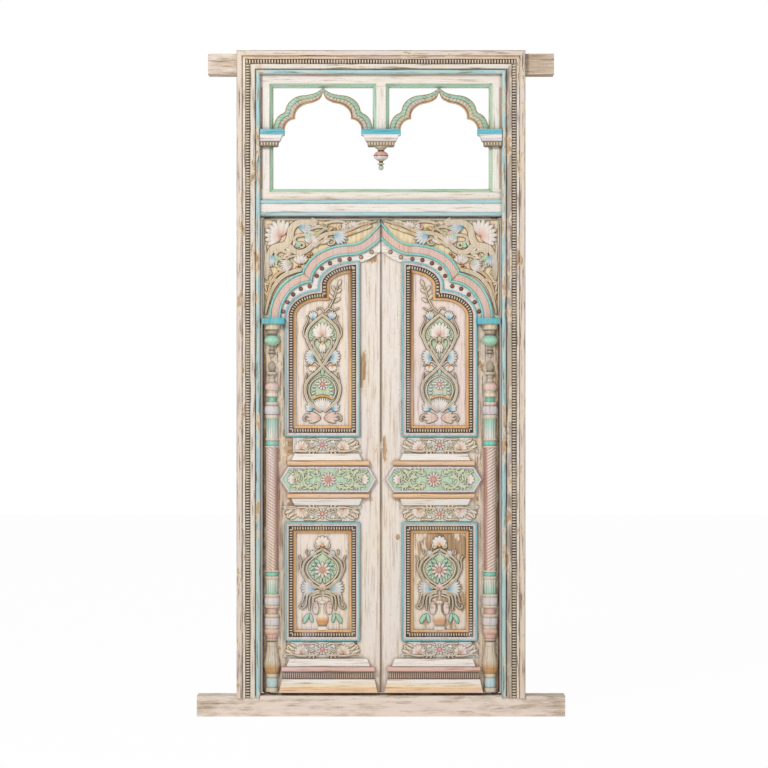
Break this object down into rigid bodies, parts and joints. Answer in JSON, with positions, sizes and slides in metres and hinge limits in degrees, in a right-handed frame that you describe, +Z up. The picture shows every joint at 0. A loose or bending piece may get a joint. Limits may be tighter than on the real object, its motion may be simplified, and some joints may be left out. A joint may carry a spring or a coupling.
{
  "type": "carved double door",
  "caption": "Carved and painted wooden double door in a moulded frame with a pierced fanlight; the leaves turn inward on wooden pivot pins.",
  "frame": {"origin": "middle of the sill's underside, half way between the front of the casing and the back of the posts", "axes": "+Z up, front of the door faces -Y, +X to the right as seen from the front"},
  "size_m": [1.476, 0.1, 2.668],
  "materials": {
    "bare_wood": "weathered",
    "white_paint": "worn paint",
    "bead_paint": "worn paint",
    "green_paint": "worn paint",
    "blue_paint": "worn paint",
    "pink_paint": "worn paint",
    "cream_paint": "worn paint",
    "carving_paint": "worn paint",
    "red_paint": "worn paint",
    "ochre_paint": "worn paint"
  },
  "bodies": {
    "frame": {"sill": "bare_wood", "head_beam": "bare_wood", "left_jamb": "white_paint", "right_jamb": "white_paint", "head_casing": "white_paint", "bead_strips": "bead_paint", "transom_bar": "white_paint", "fanlight_top_rail": "white_paint", "fanlight_bottom_rail": "white_paint", "fanlight_left_stile": "white_paint", "fanlight_right_stile": "white_paint", "fanlight_mullion": "white_paint", "fanlight_arches": "green_paint", "side_brackets": "blue_paint", "centre_bracket": "blue_paint", "pendant": "pink_paint"},
    "left_leaf": {"left_hinge_stile": "white_paint", "left_meeting_stile": "cream_paint", "left_top_rail": "cream_paint", "left_lock_rail": "cream_paint", "left_bottom_rail": "cream_paint", "left_upper_panel": "cream_paint", "left_lower_panel": "cream_paint", "left_spandrel": "carving_paint", "left_arch_band": "pink_paint", "left_studded_band": "white_paint", "left_arch_studs": "red_paint", "left_upper_moulding": "blue_paint", "left_lower_moulding": "blue_paint", "left_panel_beads": "bead_paint", "left_upper_carving": "carving_paint", "left_lower_carving": "carving_paint", "left_centre_plate": "green_paint", "left_cornices": "ochre_paint", "left_friezes": "carving_paint", "left_plinth": "ochre_paint", "left_column_capital": "blue_paint", "left_column": "pink_paint"},
    "right_leaf": {"right_hinge_stile": "white_paint", "right_meeting_stile": "cream_paint", "right_top_rail": "cream_paint", "right_lock_rail": "cream_paint", "right_bottom_rail": "cream_paint", "right_upper_panel": "cream_paint", "right_lower_panel": "cream_paint", "right_spandrel": "carving_paint", "right_arch_band": "pink_paint", "right_studded_band": "white_paint", "right_arch_studs": "red_paint", "right_upper_moulding": "blue_paint", "right_lower_moulding": "blue_paint", "right_panel_beads": "bead_paint", "right_upper_carving": "carving_paint", "right_lower_carving": "carving_paint", "right_centre_plate": "green_paint", "right_cornices": "ochre_paint", "right_friezes": "carving_paint", "right_plinth": "ochre_paint", "right_column_capital": "blue_paint", "right_column": "pink_paint"}
  },
  "joints": [
    {"name": "left_leaf_hinge", "type": "hinge", "parent": "frame", "child": "left_leaf", "pos_m": [-0.4585, 0.025, 0.09], "axis": [0, 0, 1], "range_deg": [0, 90]},
    {"name": "right_leaf_hinge", "type": "hinge", "parent": "frame", "child": "right_leaf", "pos_m": [0.4585, 0.025, 0.09], "axis": [0, 0, -1], "range_deg": [0, 90]}
  ]
}
